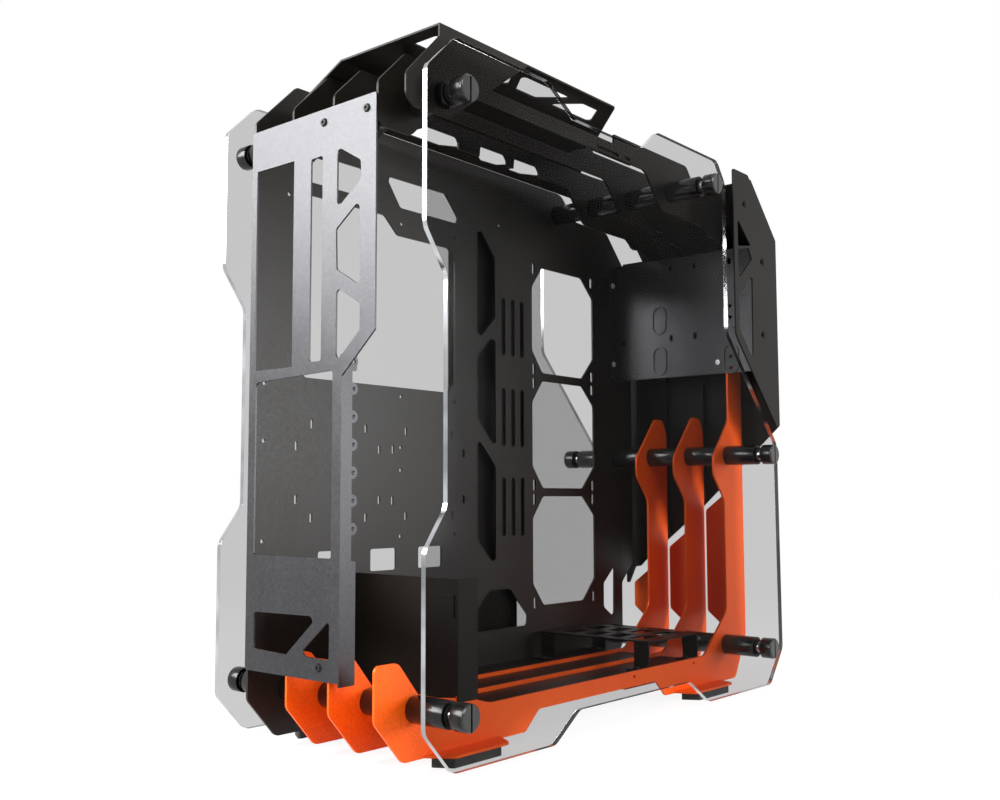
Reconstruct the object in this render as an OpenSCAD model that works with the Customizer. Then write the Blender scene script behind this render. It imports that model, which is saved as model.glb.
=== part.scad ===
// Mid-tower computer case with an open folded-sheet frame between two glass sides.
// Millimetres. X runs across the case, toward the side behind the mainboard.
// Y runs from the front to the rear connectors. Z is up and the pads stand on Z = 0.

/* [Overall] */
// Depth over the power switch and the rear screw heads
case_depth = 561; // [555:1:593]
// Height from the floor to the roof
case_height = 538; // [536:1:570]
// Distance from one frame sheet to the next
frame_pitch = 46; // [45:0.5:47]
// Gap from the near frame to the near glass
near_gap = 36; // [34:0.5:45]
// Gap from the tray to the far glass
far_gap = 46; // [42:0.5:55]

/* [Sheet and glass] */
// Thickness of the frames and the tray
sheet = 2; // [1.5:0.1:2.5]
// Thickness of the covers and brackets
cover_sheet = 1.5; // [1.2:0.1:1.8]
// Thickness of each glass side
glass_t = 4; // [3:0.5:5]
// Thickness of the rubber foot pads
pad_t = 7; // [6:0.5:8]

/* [Tie rods] */
// Diameter of the threaded tie rods
rod_d = 8; // [6:0.5:10]
// Outside diameter of the spacer tubes
spacer_d = 20; // [18:0.5:22]
// Diameter of the glass nuts
nut_d = 20; // [18:0.5:22]
// Length of the glass nut head
nut_len = 12; // [10:0.5:14]
// Thickness of the rubber washer on each side of a glass
washer_t = 1.5; // [1:0.25:2]
// Radial clearance between a rod and what it passes through
rod_gap = 0.1; // [0.1:0.05:0.2]

/* [Fasteners] */
// Thread diameter of the frame screws
screw_d = 3.5; // [3:0.1:4]
// Head diameter of the frame screws
screw_head_d = 6.6; // [6:0.1:7]
// Radial clearance between a screw and its hole
screw_gap = 0.1; // [0.1:0.05:0.2]

/* [Hidden] */
slot_pitch = 20.32;
screw_head_t = 1.5;
switch_rim_t = 1.5;
rear = case_depth / 2 - screw_head_t;
front = -case_depth / 2 + switch_rim_t;
top = case_height;
// Outline segments in each rounded corner
seg = 5;
$fn = 40;

// Sheets across the case, each named by the face nearer to the window side
tray_x = (3 * frame_pitch + near_gap - far_gap - sheet) / 2;
frame_x = [for (i = [1:3]) tray_x - i * frame_pitch];
near_x = frame_x[2];
glass_near_x = near_x - near_gap - glass_t;
glass_far_x = tray_x + sheet + far_gap;
roof_side_x = near_x - 27.5;
shelf_x = tray_x - 102;
bracket_y = rear - cover_sheet;
fr = rear - cover_sheet;
bay_y = front + 37;
riser_y = front + 8.5;

// Rod axes: depth and height
rods = [
  [rear - 41, top - 54],
  [front + 151.5, top - 44],
  [front + 41.5, 236.5],
  [front + 52, 43],
  [rear - 41.5, 43]
];
bore_d = rod_d + 2 * rod_gap;
glass_hole_d = rod_d + 3;

// Shapes

// Points of one rounded corner b between a and c
function corner(a, b, c, r) = let(
    u = (a - b) / norm(a - b),
    v = (c - b) / norm(c - b),
    h = acos(max(-1, min(1, u * v))) / 2,
    d = min(r / tan(h), 0.48 * norm(a - b), 0.48 * norm(c - b)),
    q = d * tan(h),
    m = b + (u + v) / norm(u + v) * q / sin(h),
    s = b + u * d - m,
    e = b + v * d - m,
    a0 = atan2(s[1], s[0]),
    t = atan2(e[1], e[0]) - a0,
    w = t > 180 ? t - 360 : (t < -180 ? t + 360 : t)
  )
  [for (i = [0:seg]) m + q * [cos(a0 + w * i / seg), sin(a0 + w * i / seg)]];

// Outline whose points are [across, up, corner radius]
module outline(p) {
  n = len(p);
  polygon([for (i = [0:n - 1]) let(
      a = [p[(i + n - 1) % n][0], p[(i + n - 1) % n][1]],
      b = [p[i][0], p[i][1]],
      c = [p[(i + 1) % n][0], p[(i + 1) % n][1]]
    )
    each (p[i][2] > 0 ? corner(a, b, c, p[i][2]) : [b])]);
}

// A sheet that stands across the case, drawn as depth and height
module sheet_x(x, t = sheet) {
  translate([x, 0, 0]) rotate([90, 0, 90]) linear_extrude(t) children();
}

// A sheet that faces the rear, drawn as width and height
module sheet_y(y, t = cover_sheet) {
  translate([0, y + t, 0]) rotate([90, 0, 0]) linear_extrude(t) children();
}

// A sheet that lies flat, drawn as width and depth
module sheet_z(z, t = cover_sheet) {
  translate([0, 0, z]) linear_extrude(t) children();
}

// Bar from x to x + l on the axis of rod i
module rod_bar(i, x, l, d) {
  translate([x, rods[i][0], rods[i][1]]) rotate([0, 90, 0]) cylinder(h = l, d = d);
}

module tube(i, x, l, d, bore) {
  difference() {
    rod_bar(i, x, l, d);
    rod_bar(i, x - 1, l + 2, bore);
  }
}

// Bore through a standing sheet for the rods named in a list
module rod_bores(list, x) {
  for (i = list) rod_bar(i, x - 5, sheet + 10, bore_d);
}

module slot_2d(y, z, w, h) {
  translate([y, z]) square([w, h - w], center = true);
  for (s = [-1, 1]) translate([y, z + s * (h - w) / 2]) circle(d = w, $fn = 16);
}

module screw_bore_y(x, y, z) {
  translate([x, y - 10, z]) rotate([-90, 0, 0]) cylinder(h = 20, d = screw_d + 2 * screw_gap, $fn = 24);
}

module screw_bore_z(x, y, z) {
  translate([x, y, z - 10]) cylinder(h = 20, d = screw_d + 2 * screw_gap, $fn = 24);
}

// Round-head screw with a hexagon socket, head toward +Y at y
module screw_y(x, y, z, l) {
  translate([x, y, z]) rotate([-90, 0, 0]) difference() {
    union() {
      cylinder(h = screw_head_t, d1 = screw_head_d, d2 = screw_head_d - 1.6, $fn = 24);
      translate([0, 0, -l]) cylinder(h = l + 0.1, d = screw_d, $fn = 24);
    }
    translate([0, 0, 0.5]) cylinder(h = 2, d = 2.4, $fn = 6);
  }
}

module screw_z(x, y, z, l) {
  translate([0, 0, z]) rotate([90, 0, 0]) screw_y(x, 0, -y, l);
}

// Glass sides

module glass_outline() {
  outline([
    [rear - 9.5, top - 43, 10], [rear - 39, top - 13.5, 12], [rear - 154, top - 13.5, 14],
    [rear - 190, top - 35, 14], [front + 266, top - 35, 14], [front + 240, top - 13.5, 12],
    [front + 127, top - 13.5, 10], [front + 111, top - 34, 14], [front + 111.5, 355, 14],
    [front + 8, 248, 18], [front + 6, 38, 12], [front + 35, 4.5, 10],
    [front + 162, 4.5, 14], [front + 196, 26.5, 14], [rear - 189, 26.5, 14],
    [rear - 156, 4.5, 14], [rear - 38, 4.5, 10], [rear - 9.5, 35, 10],
    [rear - 9.5, 156, 14], [rear - 31.5, 186, 14], [rear - 31.5, 350, 14],
    [rear - 9.5, 381, 14]
  ]);
}

module glass_side(x) {
  difference() {
    sheet_x(x, glass_t) glass_outline();
    for (i = [0:4]) rod_bar(i, x - 1, glass_t + 2, glass_hole_d);
  }
}

module near_glass() {
  color([0.75, 0.78, 0.8, 0.4]) glass_side(glass_near_x);
}

module far_glass() {
  color([0.75, 0.78, 0.8, 0.4]) glass_side(glass_far_x);
}

// Tray

mb_y = rear - 13.5;
tray_top = top - 19.4;
mb_z = top - 255;

// Holes of the standard board pattern, as depth and height from the rear middle hole
board_holes = [
  [-22.86, 157.48], [0, 0], [0, -45.72], [0, -124.46],
  [-154.94, 157.48], [-154.94, 0], [-154.94, -45.72], [-154.94, -66.04], [-154.94, -124.46],
  [-227.33, 157.48], [-227.33, 0], [-227.33, -124.46], [-295, 182.5]
];

module tray_outline() {
  outline([
    [fr, 38, 8], [fr, top - 47, 8], [fr - 41, top - 6, 6], [fr - 72, top - 6, 4],
    [fr - 84, tray_top, 4], [front + 143, tray_top, 18], [front + 119, top - 44, 14],
    [front + 55.5, top - 46, 8], [front + 23.5, top - 79, 8], [riser_y, top - 98, 6],
    [riser_y, 120, 6], [front + 31.5, 98, 6], [front + 31.5, 30, 10],
    [front + 54, pad_t, 8], [front + 173, pad_t, 6], [front + 190, 22.5, 8],
    [rear - 188, 22.5, 8], [rear - 170, pad_t, 6], [fr - 28, pad_t, 8]
  ]);
}

fan_y = front + 140.5;
fan_low = 138.5;
fan_pitch = 119.5;
fan_half = (fan_pitch - 8.5) / 2;
fan_z = [fan_low + 2 * fan_pitch, fan_low + fan_pitch, fan_low];

module fan_window(y, z) {
  h = fan_half;
  outline([
    [y + h, z + 33, 6], [y + 38, z + h, 6], [y - 34, z + h, 6], [y - h, z + 35, 6],
    [y - h, z - 33, 6], [y - 34, z - h, 6], [y + 38, z - h, 6], [y + h, z - 33, 6]
  ]);
}

// Columns of cable slots that clear the fan windows
cable_columns = max(1, min(3, floor((mb_y - 301.5 - fan_y - fan_half + 4) / 15)));
// Front end of the passage for the power cables
passage_y = max(mb_y - 339, fan_y + fan_half + 9.5);

module tray_windows() {
  // Behind the processor
  outline([
    [mb_y - 89, mb_z + 8, 3], [mb_y - 89, mb_z + 161.5, 3], [mb_y - 133, mb_z + 161.5, 6],
    [mb_y - 150, mb_z + 146, 6], [mb_y - 219, mb_z + 146, 8], [mb_y - 228, mb_z + 136, 8],
    [mb_y - 228, mb_z + 18, 4], [mb_y - 217, mb_z + 8, 4]
  ]);
  outline([
    [mb_y - 134, mb_z + 198, 4], [mb_y - 214, mb_z + 198, 4], [mb_y - 232.5, mb_z + 178, 4],
    [mb_y - 230, mb_z + 172, 3], [mb_y - 153, mb_z + 172, 4]
  ]);
  // Cable passages in front of the board
  outline([
    [mb_y - 261, mb_z + 170, 3], [mb_y - 267, mb_z + 171.5, 3], [mb_y - 288.5, mb_z + 148, 5],
    [mb_y - 288.5, mb_z + 87.5, 5], [mb_y - 267, mb_z + 67, 3], [mb_y - 261, mb_z + 70, 3]
  ]);
  outline([
    [mb_y - 261, mb_z + 46.5, 5], [mb_y - 282, mb_z + 66.5, 4], [mb_y - 289, mb_z + 65, 4],
    [mb_y - 289, mb_z - 37, 3], [mb_y - 284.5, mb_z - 38, 3], [mb_y - 261, mb_z - 13.5, 5]
  ]);
  outline([
    [mb_y - 261, mb_z - 38, 3], [mb_y - 265, mb_z - 36, 3], [mb_y - 289, mb_z - 59.5, 5],
    [mb_y - 289, mb_z - 151, 4], [mb_y - 282.5, mb_z - 152, 4], [mb_y - 261, mb_z - 131, 5]
  ]);
  for (i = [0:cable_columns - 1], k = [80.5, -10.5, -99.5])
    slot_2d(mb_y - 301.5 - 15 * i, mb_z + k, 6, 58);
  for (z = fan_z) fan_window(fan_y, z);
  for (z = fan_z, s = [-1, 1], k = [-1, 1]) slot_2d(fan_y + 52.5 * s, z + 52.5 * k, 4.4, 12);
  // Tie slots
  for (p = [[-50, -30], [-33.5, -48.5], [-33.5, -92], [-50, -107], [-111.5, -31], [-161.5, -31],
      [-128, -48.5], [-145, -48], [-128, -92.5], [-144.5, -93], [-112, -107.5], [-161.5, -107],
      [-224, -32], [-240.5, -48.5], [-240.5, -92], [-224.5, -107]])
    slot_2d(mb_y + p[0], mb_z + p[1], 3, 8);
  for (y = [-58, -118, -178]) outline([
    [mb_y + y, mb_z - 134.5, 2], [mb_y + y - 31.5, mb_z - 134.5, 2],
    [mb_y + y - 31.5, mb_z - 153.5, 2], [mb_y + y, mb_z - 153.5, 2]
  ]);
  // Power cable passage and front ventilation
  outline([
    [mb_y - 257, mb_z - 218, 4], [mb_y - 257, mb_z - 200, 4], [mb_y - 279, mb_z - 180, 6],
    [passage_y + 28, mb_z - 180, 6], [passage_y, mb_z - 208, 6], [passage_y + 1, mb_z - 218, 4]
  ]);
  outline([
    [front + 68.5, 99, 5], [front + 48, 116, 4], [front + 47, 114, 3], [front + 48, 60, 4],
    [front + 68.5, 73, 5]
  ]);
  for (p = board_holes) translate([mb_y + p[0], mb_z + p[1]]) circle(d = 3.6, $fn = 20);
}

// Notches for the tongues of the expansion cards
module tray_tongues() {
  for (i = [0:6]) translate([fr - 1, mb_z - 10 - slot_pitch * i]) square([6, 11], center = true);
}

// Foot flange under a sheet, its fold at x, toward side s
module foot_flange(x, s) {
  for (f = [[fr - 50, fr - 136, 14, 11], [front + 156.5, front + 67, 9, 8]])
    sheet_z(pad_t, sheet) outline([
      [x, f[0], 0], [x + s * 18.5, f[0] - f[2], 5], [x + s * 18.5, f[1] + f[3], 5], [x, f[1], 0]
    ]);
}

module motherboard_tray() {
  color([0.12, 0.11, 0.1]) {
    difference() {
      sheet_x(tray_x) difference() {
        tray_outline();
        tray_windows();
        tray_tongues();
      }
      rod_bores([0, 1, 2, 3, 4], tray_x);
      bay_bores();
    }
    foot_flange(tray_x + sheet, 1);
    // Folded stiffener along the top edge
    translate([tray_x + sheet, front + 165, tray_top - sheet])
      cube([10, fr - 84 - front - 175, sheet]);
  }
}

// Tab folded from a frame behind the rear bracket, for the screw at h
module rear_tab(x, h) {
  difference() {
    translate([x + sheet, fr - sheet, h[1] - 6]) cube([17, sheet, 12]);
    screw_bore_y(h[0], fr, h[1]);
  }
}

// Lower frames

module lower_frame_outline(tall) {
  outline(concat(
    [[fr, 38, 8], [fr, 77, 5], [fr - 23, 77, 8], [fr - 46, 50, 10],
      [fr - 100, 42.5, 20], [fr - 125, 36, 20], [front + 98, 36, 14], [front + 49, 76, 14],
      [front + 48.5, 190, 14], [front + 71, 216, 10], [front + 71, 235, 10]],
    tall
      ? [[front + 37, 274, 14], [front + 37, 343, 6], [riser_y, 343, 6]]
      : [[front + 32, 279, 7], [front + 16, 279, 8], [riser_y, 262, 8]],
    [[riser_y, 49, 8], [front + 33, pad_t, 8], [front + 173, pad_t, 6], [front + 190, 22.5, 8],
      [rear - 188, 22.5, 8], [rear - 170, pad_t, 6], [fr - 28, pad_t, 8]]
  ));
}

// Front face of a lower frame, folded toward the tray
module riser_face(x, k) {
  w = frame_pitch - sheet - 3;
  sheet_y(riser_y, sheet) outline([
    [x + sheet, 211 - 41 * k, 0], [x + sheet + w, 179 - 41 * k, 5],
    [x + sheet + w, 71, 5], [x + sheet, 37, 0]
  ]);
}

module lower_frame(k) {
  x = frame_x[k];
  difference() {
    sheet_x(x) lower_frame_outline(k == 2);
    rod_bores([2, 3, 4], x);
    for (y = [front + 119, front + 227]) translate([x - 5, y, 35 - 4])
      rotate([0, 90, 0]) cylinder(h = 20, d = 3, $fn = 16);
  }
  riser_face(x, 2 - k);
  if (k == 1) rear_tab(x, bracket_holes[2]);
}

module far_lower_frame() {
  color([1, 0.33, 0.04]) lower_frame(0);
}

module middle_lower_frame() {
  color([1, 0.33, 0.04]) lower_frame(1);
}

module near_lower_frame() {
  color([1, 0.33, 0.04]) {
    lower_frame(2);
    foot_flange(near_x, -1);
  }
}

// Upper frames

// The roof sheet ends at the line where across plus depth is roof_cut
roof_cut = roof_side_x + rear - 268;
roof_rear = fr - 35;
frame_top = top - 9;

module upper_frame_outline(head) {
  outline(concat(
    [[fr, top - 79, 6], [fr, top - 46, 8]], head,
    [[front + 117, frame_top, 8],
      [front + 103, top - 25, 10], [front + 60, top - 27, 8], [front + 14, top - 72, 8],
      [riser_y, top - 90, 8], [riser_y, 346, 4], [bay_y, 346, 4], [bay_y, top - 80, 3],
      [front + 60, top - 73, 6], [front + 72, top - 74, 4], [front + 86, top - 65, 6],
      [front + 166, top - 65, 18], [front + 196, top - 31, 14], [fr - 84, top - 31, 14],
      [fr - 52, top - 62, 10], [fr - 34, top - 79, 10]]
  ));
}

// Upper edge under the roof from its rear corner, with a tab that carries the roof sheet
function head_low(x, h) = let(y = roof_cut - x) [
    [fr - 46 + top - h, h, 3], [fr - 75, h, 1], [fr - 76, top - cover_sheet, 0],
    [fr - 86, top - cover_sheet, 0], [fr - 87, h, 1], [y + 40, h, 3], [y + 28, h + 6.5, 4],
    [y + 14, frame_top, 2], [y + 11, top - cover_sheet, 0], [y + 3, top - cover_sheet, 0],
    [y, frame_top, 2]
  ];

module far_upper_frame() {
  x = frame_x[0];
  color([0.13, 0.12, 0.12]) difference() {
    sheet_x(x) difference() {
      upper_frame_outline([[fr - 36, top - 10, 8], [front + 150, top - 10, 0]]);
      // Notches that face the windows in the slope of the roof
      outline([
        [mb_y - 115, top - 32, 0], [mb_y - 129, top - 26, 3], [mb_y - 139, top - 21, 3],
        [mb_y - 178, top - 21, 4], [mb_y - 180.5, top - 25, 3], [mb_y - 180.5, top - 32, 0]
      ]);
      for (y = [mb_y - 210, mb_y - 260.5]) outline([
        [y, top - 32, 0], [y - 1, top - 24, 1], [y - 2, top - 21, 2], [y - 36, top - 21, 4],
        [y - 40, top - 25, 4], [y - 41, top - 32, 0]
      ]);
    }
    rod_bores([0, 1], x);
  }
}

module middle_upper_frame() {
  x = frame_x[1];
  color([0.13, 0.12, 0.12]) {
    difference() {
      sheet_x(x) upper_frame_outline(head_low(x, top - 19));
      rod_bores([0, 1], x);
    }
    rear_tab(x, bracket_holes[0]);
  }
}

module near_upper_frame() {
  x = near_x;
  color([0.13, 0.12, 0.12]) {
    difference() {
      sheet_x(x) difference() {
        upper_frame_outline([
          [fr - 28, top - 18, 3], [fr - 94, top - 18, 1], [fr - 95, top - cover_sheet, 0],
          [fr - 101, top - cover_sheet, 0], [fr - 102, top - 18, 1], [roof_cut - x - 12.5, top - 18, 1],
          [roof_cut - x - 12.5, frame_top, 1]
        ]);
        translate([roof_cut - x - 2.5, top - 27.5]) rotate(90) slot_2d(0, 0, 3.4, 36);
        translate([roof_cut - x - 34.5, top - 27]) rotate(90) slot_2d(0, 0, 3.4, 10);
      }
      rod_bores([0, 1], x);
    }
    // Doubler behind the slots
    translate([x + sheet, roof_cut - x - 44, top - 31]) cube([sheet, 64, 8]);
    rear_tab(x, bracket_holes[1]);
  }
}

// Roof

slope_x = tray_x - 60;
slope_w = 54;
slope_angle = 25.9;
slope_end = [slope_x, top] + slope_w * [cos(slope_angle), -sin(slope_angle)];

// Window between diagonal members, its corners given from the line of the roof's end
module roof_windows() {
  x = [roof_side_x + 15.5, roof_side_x + 39];
  outline([
    [x[1], roof_rear - 13.5, 2], [x[0], roof_rear - 13.5, 2], [x[0], roof_rear - 69, 3],
    [x[1], roof_rear - 46.5, 3]
  ]);
  outline([
    [x[1], roof_rear - 56, 3], [x[0], roof_rear - 79, 3], [x[0], roof_rear - 106, 3],
    [x[1], roof_rear - 128, 3]
  ]);
  outline([
    [x[1], roof_rear - 139, 3], [x[0], roof_rear - 117.5, 3], [x[0], roof_rear - 187.5, 3],
    [x[1], roof_rear - 166, 3]
  ]);
  outline([
    [x[1], roof_rear - 184.5, 3], [x[0], roof_rear - 204, 3], [x[0], roof_cut - x[0] + 20.5, 3],
    [x[1], roof_cut - x[1] + 22, 3]
  ]);
}

module roof_cover() {
  color([0.13, 0.12, 0.12]) {
    difference() {
      intersection() {
        translate([0, roof_rear + 2, 0]) rotate([90, 0, 0])
          linear_extrude(roof_rear - roof_cut + slope_end[0] + 8) polygon([
            [roof_side_x - 2, top], [slope_x, top], slope_end,
            slope_end - cover_sheet * [sin(slope_angle), cos(slope_angle)],
            [slope_x - cover_sheet * tan(slope_angle / 2), top - cover_sheet],
            [roof_side_x - 2, top - cover_sheet]
          ]);
        sheet_z(top - 60, 70) outline([
          [roof_side_x, roof_rear, 0], [slope_end[0] + 2, roof_rear, 0],
          [slope_end[0] + 2, roof_cut - slope_end[0] - 2, 0],
          [roof_side_x, roof_cut - roof_side_x, 5]
        ]);
      }
      sheet_z(top - 5, 10) roof_windows();
      // Windows in the slope let light past the frame
      translate([slope_x, mb_y, top]) rotate([0, slope_angle, 0]) translate([0, 0, -5])
        linear_extrude(8) {
          outline([
            [25, -112, 3], [25, -191, 3], [36.5, -208, 3], [41, -206.5, 2], [46.5, -185, 3],
            [46.5, -133, 3]
          ]);
          outline([
            [25.5, -220.5, 3], [44, -238.5, 3], [47, -245.5, 3], [46, -267.5, 3],
            [40.5, -281, 2], [25.5, -261, 3]
          ]);
          outline([
            [28, -274.5, 2], [41.5, -289, 1], [46.3, -284.5, 1], [46.3, -306, 3],
            [40.5, -332, 2], [28, -313, 3]
          ]);
        }
    }
    // Side toward the window glass
    difference() {
      sheet_x(roof_side_x, cover_sheet) outline([
        [fr, top - 64, 8], [fr, top - 47, 8], [roof_rear, top - 10, 0], [roof_rear, top, 0],
        [roof_rear - 107, top, 0], [roof_rear - 11, top - 69, 10], [fr - 8, top - 70, 6]
      ]);
      rod_bores([0], roof_side_x);
    }
  }
}

// Rear bracket

io_x = tray_x - 48.5;
io_z = mb_z + 8;

module bracket_outline() {
  outline([
    [tray_x + sheet, mb_z - 221.5, 2], [tray_x + sheet, top - 56, 2],
    [near_x + 0.5, top - 55, 2], [near_x + 0.5, mb_z + 28, 2], [shelf_x, mb_z - 4, 2],
    [shelf_x, mb_z - 221.5, 2]
  ]);
}

module bracket_windows() {
  // Opening for the connectors of the board
  translate([io_x, io_z]) square([44.45, 158.75]);
  outline([
    [tray_x - 68, mb_z + 10, 2], [tray_x - 81, mb_z + 10, 2],
    [tray_x - 81, mb_z + 164.5, 2], [tray_x - 68, mb_z + 164, 2]
  ]);
  // Expansion slots
  outline([
    [tray_x - 6, mb_z - 134, 2], [tray_x - 94, mb_z - 134, 2], [tray_x - 94, mb_z + 2, 2],
    [tray_x - 6, mb_z - 1, 4]
  ]);
  // Light cut-outs beside the connectors
  outline([
    [tray_x - 97, mb_z + 168, 3], [tray_x - 122, mb_z + 153, 3], [tray_x - 122.5, mb_z + 139, 3],
    [tray_x - 97, mb_z + 121, 3]
  ]);
  outline([
    [tray_x - 96, mb_z + 106, 3], [tray_x - 121, mb_z + 124, 3], [tray_x - 122, mb_z + 61, 3],
    [tray_x - 97, mb_z + 76, 3]
  ]);
  outline([
    [tray_x - 97, mb_z + 63, 3], [tray_x - 122, mb_z + 48, 3], [tray_x - 122, mb_z + 29, 3],
    [tray_x - 97, mb_z + 7, 3]
  ]);
  // Lower plate
  outline([
    [tray_x - 7.5, mb_z - 177, 3], [tray_x - 73, mb_z - 176, 4], [tray_x - 76, mb_z - 180, 4],
    [tray_x - 46, mb_z - 206, 2], [tray_x - 8, mb_z - 204.5, 3]
  ]);
  outline([
    [tray_x - 93, mb_z - 177.5, 2], [tray_x - 63.5, mb_z - 202, 3],
    [tray_x - 67.5, mb_z - 205.5, 3], [tray_x - 93, mb_z - 206, 2]
  ]);
}

bracket_holes = [
  [frame_x[1] + 10, top - 65.5], [frame_x[2] + 10, top - 65], [frame_x[1] + 10, mb_z - 212]
];

module rear_bracket() {
  color([0.2, 0.19, 0.19]) {
    difference() {
      sheet_y(bracket_y) difference() {
        bracket_outline();
        bracket_windows();
      }
      for (h = bracket_holes) screw_bore_y(h[0], bracket_y, h[1]);
    }
    // Shelf that holds the card screws
    difference() {
      union() {
        sheet_x(shelf_x - cover_sheet, cover_sheet) outline([
          [rear, mb_z - 224, 0], [rear, mb_z + 13, 0], [rear - 15.5, mb_z + 14, 1],
          [rear - 15.5, mb_z + 2, 1], [rear - 11, mb_z + 2, 1], [rear - 11, mb_z - 136, 1],
          [rear - 15.5, mb_z - 136, 1], [rear - 15.5, mb_z - 224, 1]
        ]);
        for (i = [0:6]) translate([shelf_x - cover_sheet, rear - 12, mb_z + 9 - slot_pitch * i])
          rotate([0, 90, 0]) cylinder(h = cover_sheet, d = 9, $fn = 24);
      }
      for (i = [0:6]) translate([shelf_x - 5, rear - 12.5, mb_z + 9 - slot_pitch * i])
        rotate([0, 90, 0]) cylinder(h = 10, d = 3.2, $fn = 20);
    }
  }
}

module bracket_screws() {
  color([0.05, 0.05, 0.05])
    for (h = bracket_holes) screw_y(h[0], rear, h[1], 6);
}

// Front cover

cover_far_x = tray_x + 13;
cover_side_x = glass_near_x;
// Lower ends of the ribs, above the diagonal edge
rib_low = [151, 190, 233];

module front_cover() {
  color([0.13, 0.12, 0.12]) {
    // Front face with its long diagonal lower edge
    sheet_y(front) difference() {
      outline([
      [cover_side_x, top - 72, 0], [cover_side_x, 268, 4], [tray_x - 85, 181, 2],
      [tray_x - 13, 122, 3], [tray_x - 6, 115, 2], [tray_x + 1, 114, 2], [tray_x + 9, 96, 2],
      [cover_far_x, 95, 2], [cover_far_x, top - 72, 0]
      ]);
      translate([switch_x, switch_z]) circle(d = switch_d + 0.2);
      translate([ports_x, ports_z]) square([ports_w, ports_h], center = true);
    }
    // Sloping upper face
    translate([cover_side_x, 0, 0]) rotate([90, 0, 90]) linear_extrude(cover_far_x - cover_side_x)
      polygon([
        [front, top - 72], [front + 55, top - 17], [front + 55 + 1.06, top - 18.06],
        [front + cover_sheet, top - 72.6]
      ]);
    // Ribs that bear on the front edges of the frames
    for (k = [0:2]) sheet_x(frame_x[k]) outline([
      [front, rib_low[k], 0], [riser_y, rib_low[k] + 4, 0], [riser_y, top - 96, 0],
      [front, top - 88.5, 0]
    ]);
    // Side toward the window
    difference() {
      sheet_x(cover_side_x, cover_sheet) difference() {
        outline([
          [front, 268, 1], [front, top - 72, 4], [front + 61.5, top - 13.5, 4],
          [front + 94, top - 13.5, 3], [front + 94, 355, 10], [front + 7, 267, 3]
        ]);
        outline([
          [front + 86, top - 63.5, 2], [front + 58, top - 87, 1], [front + 86, top - 92, 2]
        ]);
        outline([
          [front + 86, top - 95, 2], [front + 63, top - 90, 2], [front + 56, top - 101, 2],
          [front + 86, top - 125.5, 2]
        ]);
        outline([
          [front + 86, top - 142, 2], [front + 60, top - 120, 2], [front + 55.5, top - 121, 1],
          [front + 57, top - 200.5, 1], [front + 61, top - 201.5, 1], [front + 86, top - 177, 2]
        ]);
      }
      for (p = [[71, top - 46], [33, top - 100], [34.5, 361]])
        translate([cover_side_x, front + p[0], p[1]]) rotate([0, 90, 0]) {
          translate([0, 0, -1]) cylinder(h = 4, d = 4.5, $fn = 20);
          translate([0, 0, -1]) cylinder(h = 2, d1 = 10.5, d2 = 6.5, $fn = 20);
        }
    }
  }
}

// Power switch and front ports

switch_x = (frame_x[0] + frame_x[1] + sheet) / 2;
switch_z = top - 110;
switch_d = 16;
button_d = 12;
button_travel = 1.2;
ports_x = (frame_x[1] + frame_x[2] + sheet) / 2;
ports_z = top - 118;
ports_w = 16;
ports_h = 62;

// Turned body with a rim outside the cover and a closed back
module switch_body() {
  color([0.6, 0.6, 0.62]) translate([switch_x, front, switch_z]) rotate([-90, 0, 0]) difference() {
    union() {
      translate([0, 0, -switch_rim_t]) cylinder(h = switch_rim_t, d = switch_d + 4);
      cylinder(h = 22, d = switch_d);
    }
    translate([0, 0, -5]) cylinder(h = 5 + 6, d = button_d + 0.1);
    translate([0, 0, 5]) cylinder(h = 12, d = 6.1);
  }
}

module switch_nut() {
  color([0.6, 0.6, 0.62]) translate([switch_x, front + cover_sheet, switch_z]) rotate([-90, 0, 0])
    difference() {
      cylinder(h = 3, d = 22, $fn = 6);
      translate([0, 0, -1]) cylinder(h = 5, d = switch_d);
    }
}

// Cap with its plunger
module power_button() {
  color([0.1, 0.1, 0.1]) translate([switch_x, front, switch_z]) rotate([-90, 0, 0]) {
    translate([0, 0, -switch_rim_t]) cylinder(h = switch_rim_t + 6 - button_travel - 0.6, d = button_d);
    cylinder(h = 12, d = 6);
  }
}

// Moulded block with two data sockets and two sound jacks
module front_ports() {
  color([0.05, 0.05, 0.05]) translate([ports_x, front, ports_z]) difference() {
    union() {
      translate([-ports_w / 2, 0, -ports_h / 2]) cube([ports_w, 18, ports_h]);
      translate([-ports_w / 2 - 3, cover_sheet, -ports_h / 2 - 3])
        cube([ports_w + 6, 2, ports_h + 6]);
    }
    for (z = [-19, -1]) difference() {
      translate([-2.8, -1, z - 6.3]) cube([5.6, 13, 12.6]);
      translate([-2, -2, z - 5.5]) cube([2, 15, 11]);
    }
    for (z = [14, 24]) translate([0, -1, z]) rotate([-90, 0, 0]) cylinder(h = 15, d = 3.6);
  }
}

// Drive bay plate behind the front cover

bay_near_x = glass_near_x + glass_t + 1;
bay_holes = [[near_x + 10, mb_z + 53]];

module bay_bores() {
  for (z = [mb_z + 60, mb_z + 150]) translate([tray_x - 5, bay_y + 9, z])
    rotate([0, 90, 0]) cylinder(h = 12, d = screw_d + 2 * screw_gap, $fn = 24);
}

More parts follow.
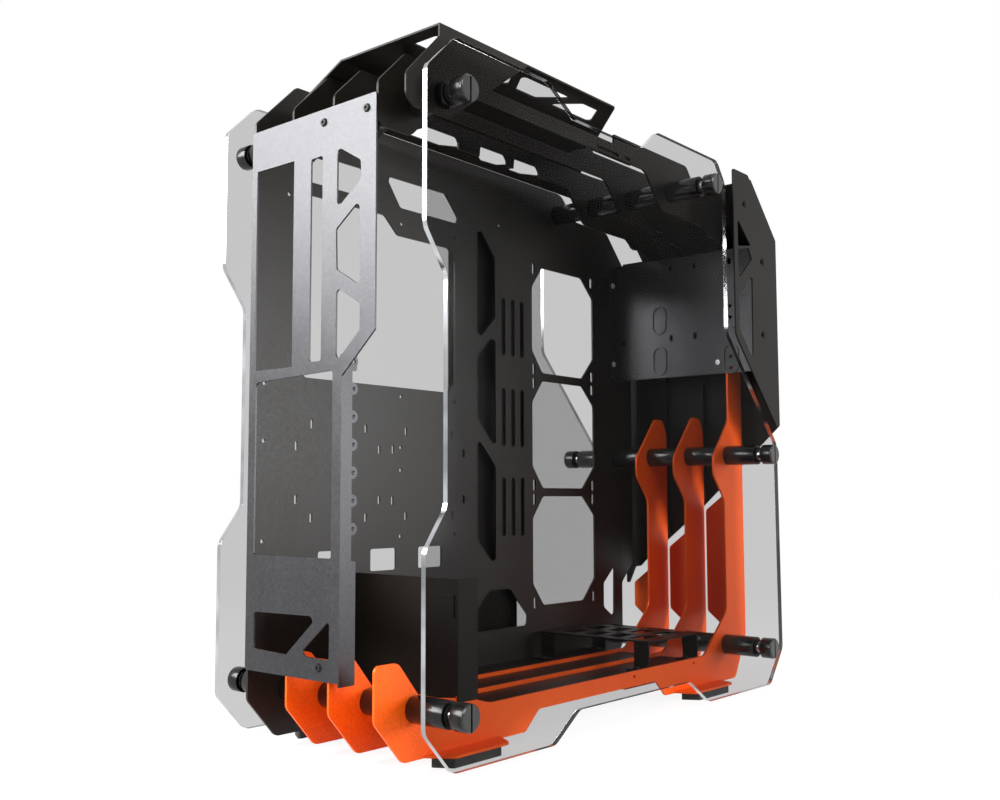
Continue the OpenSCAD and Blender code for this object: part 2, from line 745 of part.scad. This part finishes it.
module drive_bay_plate() {
  color([0.22, 0.21, 0.21]) difference() {
    union() {
      sheet_y(bay_y) difference() {
        outline([
          [tray_x, mb_z + 41, 0], [tray_x, mb_z + 173, 0], [bay_near_x, mb_z + 173, 2],
          [bay_near_x, mb_z + 41, 2]
        ]);
        for (p = [[-71, 162], [-72, 84], [-101, 161], [-101, 84], [-10, 84], [-143, 160]])
          slot_2d(tray_x + p[0], mb_z + p[1], 4, 7);
        for (z = [46, 58, 100, 112]) translate([tray_x - 143, mb_z + z]) circle(d = 4, $fn = 16);
      }
      sheet_x(tray_x - cover_sheet, cover_sheet) outline([
        [bay_y, mb_z + 41, 0], [bay_y, mb_z + 173, 0], [bay_y + 16, mb_z + 168, 3],
        [bay_y + 16, mb_z + 46, 3]
      ]);
      // Raised ovals
      for (p = [[-57, 105], [-57, 60], [-143, 104], [-143, 56]])
        translate([0, bay_y + cover_sheet + 1.2, 0]) rotate([90, 0, 0]) linear_extrude(1.2)
          difference() {
            slot_2d(tray_x + p[0], mb_z + p[1], 18, 32);
            slot_2d(tray_x + p[0], mb_z + p[1], 14, 28);
          }
    }
    bay_bores();
    for (h = bay_holes) screw_bore_y(h[0], bay_y, h[1]);
  }
}

module bay_screws() {
  color([0.6, 0.6, 0.6]) {
    for (h = bay_holes) screw_y(h[0], bay_y + cover_sheet, h[1], 5);
    for (z = [mb_z + 60, mb_z + 150])
      translate([tray_x - cover_sheet, bay_y + 9, z]) rotate([0, 0, 90]) screw_y(0, 0, 0, 5);
  }
}

// Power supply plate

psu_y = rear - 88.5;
psu_near_x = near_x - cover_sheet;

module power_supply_plate() {
  color([0.16, 0.15, 0.15]) {
    difference() {
      sheet_y(psu_y) outline([
        [tray_x, 45, 0], [tray_x, mb_z - 151, 0], [psu_near_x, mb_z - 151, 0], [psu_near_x, 42, 0]
      ]);
      for (x = frame_x) translate([x - 0.3, psu_y - 5, 20]) cube([sheet + 0.6, 12, 26]);
    }
    translate([psu_near_x, psu_y - 21, 41]) cube([cover_sheet, 22, mb_z - 151 - 41]);
    // Screw tab and lug
    sheet_y(psu_y + cover_sheet) outline([
      [near_x + 2, mb_z - 163, 0], [near_x + 15, mb_z - 163, 2], [near_x + 15, mb_z - 180, 2],
      [near_x + 2, mb_z - 180, 0]
    ]);
  }
}

// Floor between the frames

floor_z = 31;

module floor_strips() {
  color([0.14, 0.12, 0.11])
    for (i = [0:2]) {
      x = frame_x[i] + sheet;
      w = frame_pitch - sheet;
      difference() {
        union() {
          translate([x, front + 104, floor_z]) cube([w, rear - 110 - front - 104, cover_sheet]);
          for (s = [x, x + w - cover_sheet])
            translate([s, front + 104, floor_z - 6]) cube([cover_sheet, rear - 110 - front - 104, 7]);
        }
        for (h = bridge_holes) screw_bore_z(h[0], h[1], floor_z);
      }
    }
}

// Drive bridge

bridge_z = mb_z - 226;
bridge_y = [front + 102, front + 194];
bridge_x = [near_x + sheet + 3, tray_x - 8];
bridge_holes = [for (x = [bridge_x[0] + 8, bridge_x[1] - 8], y = [bridge_y[0] + 10, bridge_y[1] + 8]) [x, y]];

module drive_bridge() {
  w = bridge_x[1] - bridge_x[0];
  color([0.1, 0.09, 0.09]) difference() {
    union() {
      sheet_z(bridge_z) difference() {
        outline([
          [bridge_x[0], bridge_y[0], 4], [bridge_x[1], bridge_y[0], 4],
          [bridge_x[1], bridge_y[1], 4], [bridge_x[0], bridge_y[1], 4]
        ]);
        for (i = [0:3], s = [0, 1]) translate([bridge_x[0] + 14 + 26 * i, bridge_y[0] + 12 + 40 * s])
          square([16, 28]);
      }
      // Legs with feet turned outward
      for (x = [bridge_x[0], bridge_x[1] - 16]) {
        translate([x, bridge_y[1] - cover_sheet, floor_z + cover_sheet])
          cube([16, cover_sheet, bridge_z - floor_z - 1]);
        translate([x, bridge_y[1] - cover_sheet, floor_z + cover_sheet]) cube([16, 16, cover_sheet]);
        translate([x, bridge_y[0], floor_z + cover_sheet])
          cube([16, cover_sheet, bridge_z - floor_z - 1]);
        translate([x, bridge_y[0], floor_z + cover_sheet]) cube([16, 16, cover_sheet]);
      }
    }
    for (h = bridge_holes) screw_bore_z(h[0], h[1], floor_z + cover_sheet);
  }
}

module bridge_screws() {
  color([0.1, 0.1, 0.1])
    for (h = bridge_holes) screw_z(h[0], h[1], floor_z + 2 * cover_sheet, 5);
}

// Rods, spacers and nuts

rod_near = glass_near_x - washer_t - 8;
rod_far = glass_far_x + glass_t + washer_t + 8;

module tie_rods() {
  color([0.5, 0.5, 0.5])
    for (i = [0:4]) rod_bar(i, rod_near, rod_far - rod_near, rod_d);
}

module frame_spacers() {
  color([0.06, 0.06, 0.06])
    for (i = [0:4], k = [0:2])
      tube(i, frame_x[k] + sheet, frame_pitch - sheet, spacer_d, bore_d);
}

near_in = glass_near_x + glass_t + washer_t;

module near_spacers() {
  color([0.06, 0.06, 0.06])
    for (i = [1:4]) tube(i, near_in, near_x - near_in, spacer_d, bore_d);
}

module roof_spacer_inner() {
  color([0.06, 0.06, 0.06])
    tube(0, roof_side_x + cover_sheet, near_x - roof_side_x - cover_sheet, spacer_d, bore_d);
}

module roof_spacer_outer() {
  color([0.06, 0.06, 0.06]) tube(0, near_in, roof_side_x - near_in, spacer_d, bore_d);
}

module far_spacers() {
  color([0.06, 0.06, 0.06])
    for (i = [0:4])
      tube(i, tray_x + sheet, far_gap - washer_t, spacer_d, bore_d);
}

module glass_washers() {
  color([0.03, 0.03, 0.03])
    for (i = [0:4], x = [glass_near_x - washer_t, glass_near_x + glass_t,
        glass_far_x - washer_t, glass_far_x + glass_t])
      tube(i, x, washer_t, spacer_d - 5, bore_d);
}

// Nut with a coin slot, its seat at x, pointing to side s
module glass_nut(i, x, s) {
  translate([x, rods[i][0], rods[i][1]]) rotate([0, 90 * s, 0]) difference() {
    union() {
      cylinder(h = nut_len - 1, d = nut_d);
      translate([0, 0, nut_len - 1]) cylinder(h = 1, d1 = nut_d, d2 = nut_d - 2);
    }
    translate([0, 0, -1]) cylinder(h = 9.3, d = rod_d);
    translate([-nut_d, -0.9, nut_len - 2.2]) cube([2 * nut_d, 1.8, 4]);
  }
}

module glass_nuts() {
  color([0.08, 0.08, 0.08])
    for (i = [0:4]) {
      glass_nut(i, glass_near_x - washer_t, -1);
      glass_nut(i, glass_far_x + glass_t + washer_t, 1);
    }
}

// Pads

module foot_pads() {
  color([0.04, 0.04, 0.04])
    for (f = [[fr - 54, fr - 120], [front + 148, front + 78]], s = [-1, 1]) {
      x = s < 0 ? near_x : tray_x + sheet;
      linear_extrude(pad_t) outline([
        [x + s * 1, f[0], 2], [x + s * 17, f[0] - 10, 2], [x + s * 17, f[1] + 2, 2],
        [x + s * 1, f[1], 2]
      ]);
    }
}

near_glass();
far_glass();
motherboard_tray();
near_lower_frame();
middle_lower_frame();
far_lower_frame();
near_upper_frame();
middle_upper_frame();
far_upper_frame();
roof_cover();
rear_bracket();
front_cover();
switch_body();
switch_nut();
power_button();
front_ports();
drive_bay_plate();
power_supply_plate();
drive_bridge();
floor_strips();
tie_rods();
frame_spacers();
near_spacers();
far_spacers();
roof_spacer_inner();
roof_spacer_outer();
glass_washers();
glass_nuts();
foot_pads();
bracket_screws();
bay_screws();
bridge_screws();
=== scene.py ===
import math

import bmesh
import bpy
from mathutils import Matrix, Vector


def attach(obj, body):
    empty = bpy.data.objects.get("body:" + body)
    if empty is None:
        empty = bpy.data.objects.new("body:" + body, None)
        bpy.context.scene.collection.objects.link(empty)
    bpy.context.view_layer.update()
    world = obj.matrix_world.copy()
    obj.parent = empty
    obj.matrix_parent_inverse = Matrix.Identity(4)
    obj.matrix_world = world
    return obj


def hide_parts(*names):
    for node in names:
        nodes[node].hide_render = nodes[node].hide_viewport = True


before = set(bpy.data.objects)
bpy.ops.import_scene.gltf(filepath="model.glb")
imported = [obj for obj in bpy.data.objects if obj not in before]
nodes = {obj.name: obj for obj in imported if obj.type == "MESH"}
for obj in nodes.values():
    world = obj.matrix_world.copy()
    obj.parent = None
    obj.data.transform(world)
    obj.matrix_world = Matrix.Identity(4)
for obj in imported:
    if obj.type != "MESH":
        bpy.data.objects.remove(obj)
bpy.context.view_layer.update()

# Lengths are in metres, apart from the outlines of the added pieces, which are in mm.

WELD_DISTANCE = 0.000005
SHEET_EDGE = 0.0003
GLASS_EDGE = 0.0005
SHARP_ANGLE = math.radians(40)


def new_object(name, data):
    obj = bpy.data.objects.new(name, data)
    bpy.context.scene.collection.objects.link(obj)
    return obj


def stand(obj, place, look):
    """Puts a camera or a lamp at a place, and turns it to look in a direction."""
    obj.location = place
    obj.rotation_mode = "QUATERNION"
    obj.rotation_quaternion = Vector(look).to_track_quat("-Z", "Y")


# Camera

SENSOR_WIDTH = 36
FOCAL_LENGTH = 39.887
CAMERA_SHIFT = (0.03824, 0.00287)
CAMERA_PLACE = (-0.62739, 0.82147, 0.19297)
CAMERA_LOOK = (0.6539, -0.7518, 0.0849)


def make_camera():
    data = bpy.data.cameras.new("camera")
    data.sensor_width = SENSOR_WIDTH
    data.lens = FOCAL_LENGTH
    data.shift_x, data.shift_y = CAMERA_SHIFT
    camera = new_object("camera", data)
    stand(camera, CAMERA_PLACE, CAMERA_LOOK)
    bpy.context.scene.camera = camera


make_camera()


# Shader nodes


class Value:
    """A socket. Sums, differences and products with it add Math nodes."""

    def __init__(self, shader, socket):
        self.shader = shader
        self.socket = socket

    def math(self, operation, *terms):
        return self.shader.node("Math", {"operation": operation}, dict(enumerate(terms)))

    def __add__(self, other):
        return self.math("ADD", self, other)

    def __radd__(self, other):
        return self.math("ADD", other, self)

    def __sub__(self, other):
        return self.math("SUBTRACT", self, other)

    def __rsub__(self, other):
        return self.math("SUBTRACT", other, self)

    def __mul__(self, other):
        return self.math("MULTIPLY", self, other)

    def __rmul__(self, other):
        return self.math("MULTIPLY", other, self)

    def __abs__(self):
        return self.math("ABSOLUTE", self)


class Shader:
    """The nodes of a material or of the world."""

    def __init__(self, owner):
        owner.use_nodes = True
        self.tree = owner.node_tree
        self.tree.nodes.clear()

    def node(self, kind, settings=None, sockets=None, out=0):
        """Adds a node, with its settings first and then its sockets, and returns one output."""
        made = self.tree.nodes.new("ShaderNode" + kind)
        for key, value in (settings or {}).items():
            setattr(made, key, value)
        for key, value in (sockets or {}).items():
            if isinstance(value, Value):
                self.tree.links.new(value.socket, made.inputs[key])
            else:
                made.inputs[key].default_value = value
        return Value(self, made.outputs[out]) if len(made.outputs) else made

    def ramp(self, value, low, high, start=0.0, end=1.0):
        """Maps value from low..high to start..end and stops at both."""
        limits = {"From Min": low, "From Max": high, "To Min": start, "To Max": end}
        return self.node("MapRange", sockets={"Value": value, **limits})

    def shown(self):
        """1 for rays from the camera, a reflection or glass, and 0 for light on the object."""
        shown = self.node("LightPath", out="Is Camera Ray")
        for ray in ("Is Glossy Ray", "Is Transmission Ray"):
            shown = shown.math("MAXIMUM", shown, self.node("LightPath", out=ray))
        return shown


class Finish(Shader):
    """One material."""

    def __init__(self, name):
        self.material = bpy.data.materials.new(name)
        super().__init__(self.material)
        self.place = self.node("TexCoord", out="Object")

    def noise(self, scale, detail=2, roughness=0.5):
        return self.node(
            "TexNoise",
            sockets={
                "Vector": self.place,
                "Scale": scale,
                "Detail": detail,
                "Roughness": roughness,
            },
        )

    def mix(self, factor, first, second, blend="MIX"):
        """Mixes two colours."""
        return self.node(
            "Mix",
            {"data_type": "RGBA", "blend_type": blend},
            {0: factor, 6: first, 7: second},
            out=2,
        )

    def grey(self, level):
        """A colour with the same level in its three channels."""
        return self.node("CombineColor", sockets={0: level, 1: level, 2: level})

    def bump(self, height, distance, strength):
        return self.node(
            "Bump", sockets={"Height": height, "Distance": distance, "Strength": strength}
        )

    def surface(self, **sockets):
        """Joins the shader to the output. Socket names are given with underscores for spaces."""
        named = {key.replace("_", " "): value for key, value in sockets.items()}
        shader = self.node("BsdfPrincipled", sockets=named)
        self.node("OutputMaterial", sockets={"Surface": shader})
        return self.material


# Finishes

# Noise runs from 0 to 1, but few of its values lie outside these two ranges.
MOST_NOISE = (0.35, 0.65)
NEARLY_ALL_NOISE = (0.3, 0.7)
MEAN_NOISE = 0.5

# Pattern scales are per metre.
COAT_GRAIN_SCALE = 1500
COAT_MOTTLE_SCALE = 320
COAT_CLOUD_SCALE = 9
COAT_GRAIN_DEPTH = 0.00006
TURNED_RING_SCALE = 2600
TURNED_SMEAR_SCALE = 60
TURNED_RING_DEPTH = 0.00002
RUBBER_GRAIN_SCALE = 900
RUBBER_CLOUD_SCALE = 80
RUBBER_GRAIN_DEPTH = 0.0001
GLASS_SMUDGE_SCALE = 14
GLASS_STREAK_SCALE = 25

# A normal's share along X, over which the glass's edge turns to its face
GLASS_FACE = (0.97, 0.995)
GLASS_EDGE_ALPHA = 0.92
GLASS_FACE_ALPHA = 0.253


def coat(name, color, shade, rough, metallic=0.0, specular=0.5):
    """Powder coat on sheet: fine grain, soft mottling and a little change in the gloss."""
    finish = Finish(name)
    grain = finish.noise(COAT_GRAIN_SCALE, detail=3, roughness=0.6)
    cloud = finish.noise(COAT_CLOUD_SCALE)
    mottle = finish.noise(COAT_MOTTLE_SCALE)
    tone = finish.ramp(cloud * 0.6 + mottle * 0.4, *MOST_NOISE)
    base = finish.mix(tone, (*shade, 1), (*color, 1))
    speck = finish.ramp(grain, 0.42, 0.62, start=0.85, end=1.18)
    return finish.surface(
        Base_Color=finish.mix(1.0, base, finish.grey(speck), "MULTIPLY"),
        Metallic=metallic,
        Roughness=rough + (mottle - MEAN_NOISE) * 0.12 + (cloud - MEAN_NOISE) * 0.1,
        Specular_IOR_Level=specular,
        Normal=finish.bump(grain + mottle * 0.5, COAT_GRAIN_DEPTH, strength=0.8),
    )


def turned(name, color, rough, metallic=0.0, specular=0.5):
    """Turned metal: fine rings round the rods' axis and a soft smear in the gloss."""
    finish = Finish(name)
    across = finish.node("SeparateXYZ", sockets={0: finish.place}, out="X")
    ring = finish.node(
        "TexNoise",
        {"noise_dimensions": "1D"},
        {"W": across, "Scale": TURNED_RING_SCALE, "Detail": 2},
    )
    smear = finish.noise(TURNED_SMEAR_SCALE, detail=3)
    worn = [channel * 1.35 for channel in color]
    return finish.surface(
        Base_Color=finish.mix(finish.ramp(smear, *MOST_NOISE), (*color, 1), (*worn, 1)),
        Metallic=metallic,
        Roughness=rough + (smear - MEAN_NOISE) * 0.15,
        Specular_IOR_Level=specular,
        Normal=finish.bump(ring, TURNED_RING_DEPTH, strength=0.5),
    )


def rubber(name):
    """Black rubber or plastic with a matt grain."""
    finish = Finish(name)
    grain = finish.noise(RUBBER_GRAIN_SCALE, detail=3, roughness=0.6)
    cloud = finish.ramp(finish.noise(RUBBER_CLOUD_SCALE), *NEARLY_ALL_NOISE)
    return finish.surface(
        Base_Color=finish.mix(cloud, (0.012, 0.012, 0.012, 1), (0.026, 0.025, 0.024, 1)),
        Roughness=finish.ramp(grain, *NEARLY_ALL_NOISE, start=0.6, end=0.85),
        Normal=finish.bump(grain, RUBBER_GRAIN_DEPTH, strength=0.6),
    )


def clear_glass(name):
    """Grey-tinted glass: clear on its two faces, and bright like ground metal round its edge."""
    finish = Finish(name)
    normal = finish.node("TexCoord", out="Normal")
    side = abs(finish.node("SeparateXYZ", sockets={0: normal}, out="X"))
    face = finish.ramp(side, *GLASS_FACE)
    smudge = finish.noise(GLASS_SMUDGE_SCALE, detail=3)
    streak = finish.ramp(finish.noise(GLASS_STREAK_SCALE), *MOST_NOISE)
    edge = finish.mix(streak, (0.30, 0.31, 0.32, 1), (0.62, 0.63, 0.65, 1))
    return finish.surface(
        Base_Color=finish.mix(face, edge, (0.0, 0.0, 0.0, 1)),
        Metallic=1.0 - face,
        Roughness=finish.ramp(smudge, *NEARLY_ALL_NOISE, start=0.06, end=0.14),
        Alpha=finish.ramp(face, 0.0, 1.0, start=GLASS_EDGE_ALPHA, end=GLASS_FACE_ALPHA),
        Specular_IOR_Level=0.04,
    )


black = coat(
    "black_powder_coat",
    color=(0.014, 0.0115, 0.0095),
    shade=(0.010, 0.0082, 0.0068),
    rough=0.38,
    specular=0.1,
)
tray_black = coat(
    "tray_black_coat",
    color=(0.016, 0.0135, 0.0115),
    shade=(0.011, 0.0093, 0.008),
    rough=0.38,
    specular=0.25,
)
plate = coat(
    "grey_black_plate_coat",
    color=(0.056, 0.056, 0.060),
    shade=(0.040, 0.040, 0.043),
    rough=0.38,
    metallic=0.8,
)
# The front cover's coat is a darker copy of the black powder coat: painted shade, for the little
# light that the cover catches and reflects.
front_cover_shaded_black = coat(
    "front_cover_painted_shade_coat",
    color=(0.010, 0.009, 0.0082),
    shade=(0.007, 0.0063, 0.0057),
    rough=0.42,
    specular=0.06,
)
# The cable cover's coat is a darker copy of the black powder coat: painted shade for the dark
# space behind the tray's passages.
shade_darkened_cover_black = coat(
    "cable_cover_painted_shade_coat",
    color=(0.007, 0.0058, 0.0048),
    shade=(0.005, 0.0041, 0.0034),
    rough=0.3,
    specular=0.05,
)
orange = coat(
    "orange_powder_coat",
    color=(1.0, 0.130, 0.006),
    shade=(0.92, 0.10, 0.004),
    rough=0.36,
    metallic=0.15,
    specular=0.2,
)
dark_turned = turned("black_turned_metal", (0.010, 0.0095, 0.009), rough=0.22)
screw_black = turned("black_oxide_screw", (0.008, 0.008, 0.008), rough=0.5, specular=0.2)
bright_turned = turned("zinc_plated_steel", (0.45, 0.45, 0.45), rough=0.3, metallic=1.0)
switch_metal = turned("satin_switch_metal", (0.5, 0.5, 0.51), rough=0.28, metallic=1.0)
socket_black = rubber("matt_black_socket")
pad_rubber = rubber("pad_rubber")
glass = clear_glass("clear_side_glass")

FINISHES = {
    "near_glass": glass,
    "far_glass": glass,
    "motherboard_tray": tray_black,
    "near_lower_frame": orange,
    "middle_lower_frame": orange,
    "far_lower_frame": orange,
    "near_upper_frame": black,
    "middle_upper_frame": black,
    "far_upper_frame": black,
    "roof_cover": black,
    "rear_bracket": plate,
    "front_cover": front_cover_shaded_black,
    "switch_body": switch_metal,
    "switch_nut": switch_metal,
    "power_button": switch_metal,
    "front_ports": socket_black,
    "drive_bay_plate": plate,
    "power_supply_plate": black,
    "drive_bridge": black,
    "floor_strips": black,
    "tie_rods": bright_turned,
    "frame_spacers": dark_turned,
    "near_spacers": dark_turned,
    "far_spacers": dark_turned,
    "roof_spacer_inner": dark_turned,
    "roof_spacer_outer": dark_turned,
    "glass_washers": pad_rubber,
    "glass_nuts": dark_turned,
    "foot_pads": pad_rubber,
    "bracket_screws": screw_black,
    "bay_screws": bright_turned,
    "bridge_screws": screw_black,
}


def wear(obj, material):
    """Gives the object one material, in place of all that it has."""
    obj.data.materials.clear()
    obj.data.materials.append(material)


def soften(obj, width):
    """Joins the faces that the file keeps apart, then rounds the edges by a small radius."""
    weld = obj.modifiers.new("weld", "WELD")
    weld.merge_threshold = WELD_DISTANCE
    bevel = obj.modifiers.new("edge_radius", "BEVEL")
    bevel.width = width
    bevel.segments = 2
    bevel.limit_method = "ANGLE"
    bevel.angle_limit = SHARP_ANGLE


for name, obj in nodes.items():
    wear(obj, FINISHES[name])


# Forms that the solids lack

# Outlines are in Y and Z, and each pair of depths is in X, all in mm.
PROCESSOR_WINDOW = [(170, 291), (226, 291), (226, 444.5), (170, 444.5)]
PROCESSOR_CORNER = 4
UPPER_WINDOW = [(147, 455.5), (220, 455.5), (220, 470), (210, 480.5), (161, 480.5)]
UPPER_CORNER = 3
THROUGH_TRAY = (60, 68)

UPPER_STEP = [(-285, 480.5), (-215, 480.5), (-215, 530), (-285, 530)]
UPPER_STEP_DEPTHS = (56, 130)
LOWER_STEP = [(-285, 466.6), (-262, 466.6), (-262, 480.6), (-285, 480.6)]
LOWER_STEP_DEPTHS = (49, 130)

CABLE_COVER_OUTSIDE = [
    (36, 60), (36, 452), (30, 458), (-80, 458),
    (-86, 452), (-86, 130), (-59, 104), (-59, 60),
]
CABLE_COVER_DEPTHS = (65.3, 73.2)
CABLE_COVER_INSIDE = [
    (34.8, 61.2), (34.8, 451.5), (29.5, 456.8), (-79.5, 456.8),
    (-84.8, 451.5), (-84.8, 130.5), (-57.8, 104.5), (-57.8, 61.2),
]
CABLE_COVER_HOLLOW = (60, 72)


def rounded(points, radius, steps=5):
    """Rounds each corner of an outline by an arc."""
    done = []
    for i, point in enumerate(points):
        corner = Vector(point)
        before = (Vector(points[i - 1]) - corner).normalized()
        after = (Vector(points[(i + 1) % len(points)]) - corner).normalized()
        half = before.angle(after) / 2
        middle = corner + (before + after).normalized() * radius / math.sin(half)
        start = corner + before * radius / math.tan(half) - middle
        end = corner + after * radius / math.tan(half) - middle
        turn = start.angle_signed(end)
        for k in range(steps + 1):
            angle = turn * k / steps
            across = middle.x + start.x * math.cos(angle) + start.y * math.sin(angle)
            up = middle.y - start.x * math.sin(angle) + start.y * math.cos(angle)
            done.append((across, up))
    return done


def prism(points, low, high):
    """A mesh of an outline in Y and Z, drawn out along X, with all lengths in mm."""
    work = bmesh.new()
    ends = []
    for x in (low, high):
        ring = [work.verts.new((x / 1000, y / 1000, z / 1000)) for y, z in points]
        ends.append(ring)
        work.faces.new(ring)
    for i in range(len(points)):
        j = (i + 1) % len(points)
        work.faces.new((ends[0][i], ends[0][j], ends[1][j], ends[1][i]))
    bmesh.ops.recalc_face_normals(work, faces=work.faces)
    mesh = bpy.data.meshes.new("outline")
    work.to_mesh(mesh)
    work.free()
    return mesh


def cut(obj, tools):
    """Takes the tools' volumes off the object, which gets a new mesh."""
    cutters = []
    for mesh in tools:
        cutter = new_object("cutter", mesh)
        cutters.append(cutter)
        boolean = obj.modifiers.new("cut", "BOOLEAN")
        boolean.operation = "DIFFERENCE"
        boolean.solver = "EXACT"
        boolean.object = cutter
    evaluated = obj.evaluated_get(bpy.context.evaluated_depsgraph_get())
    mesh = bpy.data.meshes.new_from_object(evaluated)
    obj.modifiers.clear()
    obj.data = mesh
    for cutter in cutters:
        bpy.data.objects.remove(cutter)


def opened_copy(node, name, tools, finish):
    """A copy of a node less the tools' volumes, which stands for that node."""
    piece = new_object(name, nodes[node].data.copy())
    piece.matrix_world = nodes[node].matrix_world.copy()
    work = bmesh.new()
    work.from_mesh(piece.data)
    bmesh.ops.remove_doubles(work, verts=work.verts, dist=WELD_DISTANCE)
    work.to_mesh(piece.data)
    work.free()
    cut(piece, tools)
    wear(piece, finish)
    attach(piece, "case")
    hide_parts(node)
    return piece


def windowed_tray():
    """The tray with its processor window at full length and the window over it."""
    tools = [
        prism(rounded(PROCESSOR_WINDOW, PROCESSOR_CORNER), *THROUGH_TRAY),
        prism(rounded(UPPER_WINDOW, UPPER_CORNER), *THROUGH_TRAY),
    ]
    return opened_copy("motherboard_tray", "tray_with_windows", tools, tray_black)


def stepped_cover():
    """The front cover, whose slope ends in a step short of the tray."""
    tools = [prism(UPPER_STEP, *UPPER_STEP_DEPTHS), prism(LOWER_STEP, *LOWER_STEP_DEPTHS)]
    return opened_copy("front_cover", "front_cover_stepped", tools, front_cover_shaded_black)


def cable_cover():
    """A shallow folded cover behind the tray's cable passages, in a coat darkened as painted
    shade.
    """
    piece = new_object("cable_cover", prism(CABLE_COVER_OUTSIDE, *CABLE_COVER_DEPTHS))
    cut(piece, [prism(CABLE_COVER_INSIDE, *CABLE_COVER_HOLLOW)])
    wear(piece, shade_darkened_cover_black)
    return piece


tray_piece = windowed_tray()
front_piece = stepped_cover()
cover_piece = cable_cover()
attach(cover_piece, "case")


# Light and floor

# The white room is seen at strength 1, and lights the object at a fraction of that.
ROOM_LIGHT = 0.18
ROOM_SEEN = 1.0

FLOOR_REACH = 12.0
FLOOR_DROP = 0.0002
FLOOR_COLOR = (0.8, 0.8, 0.8, 1)

# Between these two distances from the object's middle, the floor turns to plain white.
FLOOR_FADE = (0.7, 1.6)
GLOW_SHARE_NEAR = 0.8
GLOW_LEVEL_NEAR = 1.12


def soft_box(name, place, aim, width, height, watts):
    """A rectangular lamp at a place, turned to the point that it aims at."""
    data = bpy.data.lights.new(name, "AREA")
    data.shape = "RECTANGLE"
    data.size = width
    data.size_y = height
    data.energy = watts
    stand(new_object(name, data), place, Vector(aim) - Vector(place))


def white_room():
    world = bpy.data.worlds.new("room")
    bpy.context.scene.world = world
    room = Shader(world)
    strength = room.ramp(room.shown(), 0.0, 1.0, start=ROOM_LIGHT, end=ROOM_SEEN)
    back = room.node("Background", sockets={"Color": (1, 1, 1, 1), "Strength": strength})
    room.node("OutputWorld", sockets={"Surface": back})


def make_floor():
    """A pale floor that keeps the object's shadow and turns to plain white further out."""
    mesh = bpy.data.meshes.new("floor")
    r, z = FLOOR_REACH, -FLOOR_DROP
    mesh.from_pydata([(-r, -r, z), (r, -r, z), (r, r, z), (-r, r, z)], [], [(0, 1, 2, 3)])
    floor = new_object("floor", mesh)
    finish = Finish("white_floor")
    shown = finish.shown()
    away = finish.node("VectorMath", {"operation": "LENGTH"}, {0: finish.place}, out="Value")
    share = finish.ramp(away, *FLOOR_FADE, start=GLOW_SHARE_NEAR, end=1.0)
    level = finish.ramp(away, *FLOOR_FADE, start=GLOW_LEVEL_NEAR, end=1.0)
    glow_color = finish.grey(level)
    diffuse = finish.node("BsdfDiffuse", sockets={"Color": FLOOR_COLOR})
    glow = finish.node("Emission", sockets={"Color": glow_color})
    shader = finish.node("MixShader", sockets={0: shown * share, 1: diffuse, 2: glow})
    finish.node("OutputMaterial", sockets={"Surface": shader})
    mesh.materials.append(finish.material)


soft_box("rear_box", (1.15, 1.55, 1.15), (0.0, 0.25, 0.4), width=1.0, height=0.9, watts=60)
soft_box("near_box", (-1.5, 0.7, 1.4), (0.0, 0.1, 0.2), width=1.1, height=0.9, watts=22)
soft_box("bay_box", (0.6, 1.7, 0.75), (-0.05, -0.2, 0.4), width=0.5, height=0.5, watts=16)
soft_box("side_box", (-1.65, -0.95, 0.4), (0.06, 0.2, 0.25), width=0.7, height=0.65, watts=38)
white_room()
make_floor()

bpy.context.scene.view_settings.view_transform = "Standard"

for name, obj in nodes.items():
    soften(obj, GLASS_EDGE if name.endswith("_glass") else SHEET_EDGE)
for piece in (tray_piece, front_piece, cover_piece):
    soften(piece, SHEET_EDGE)
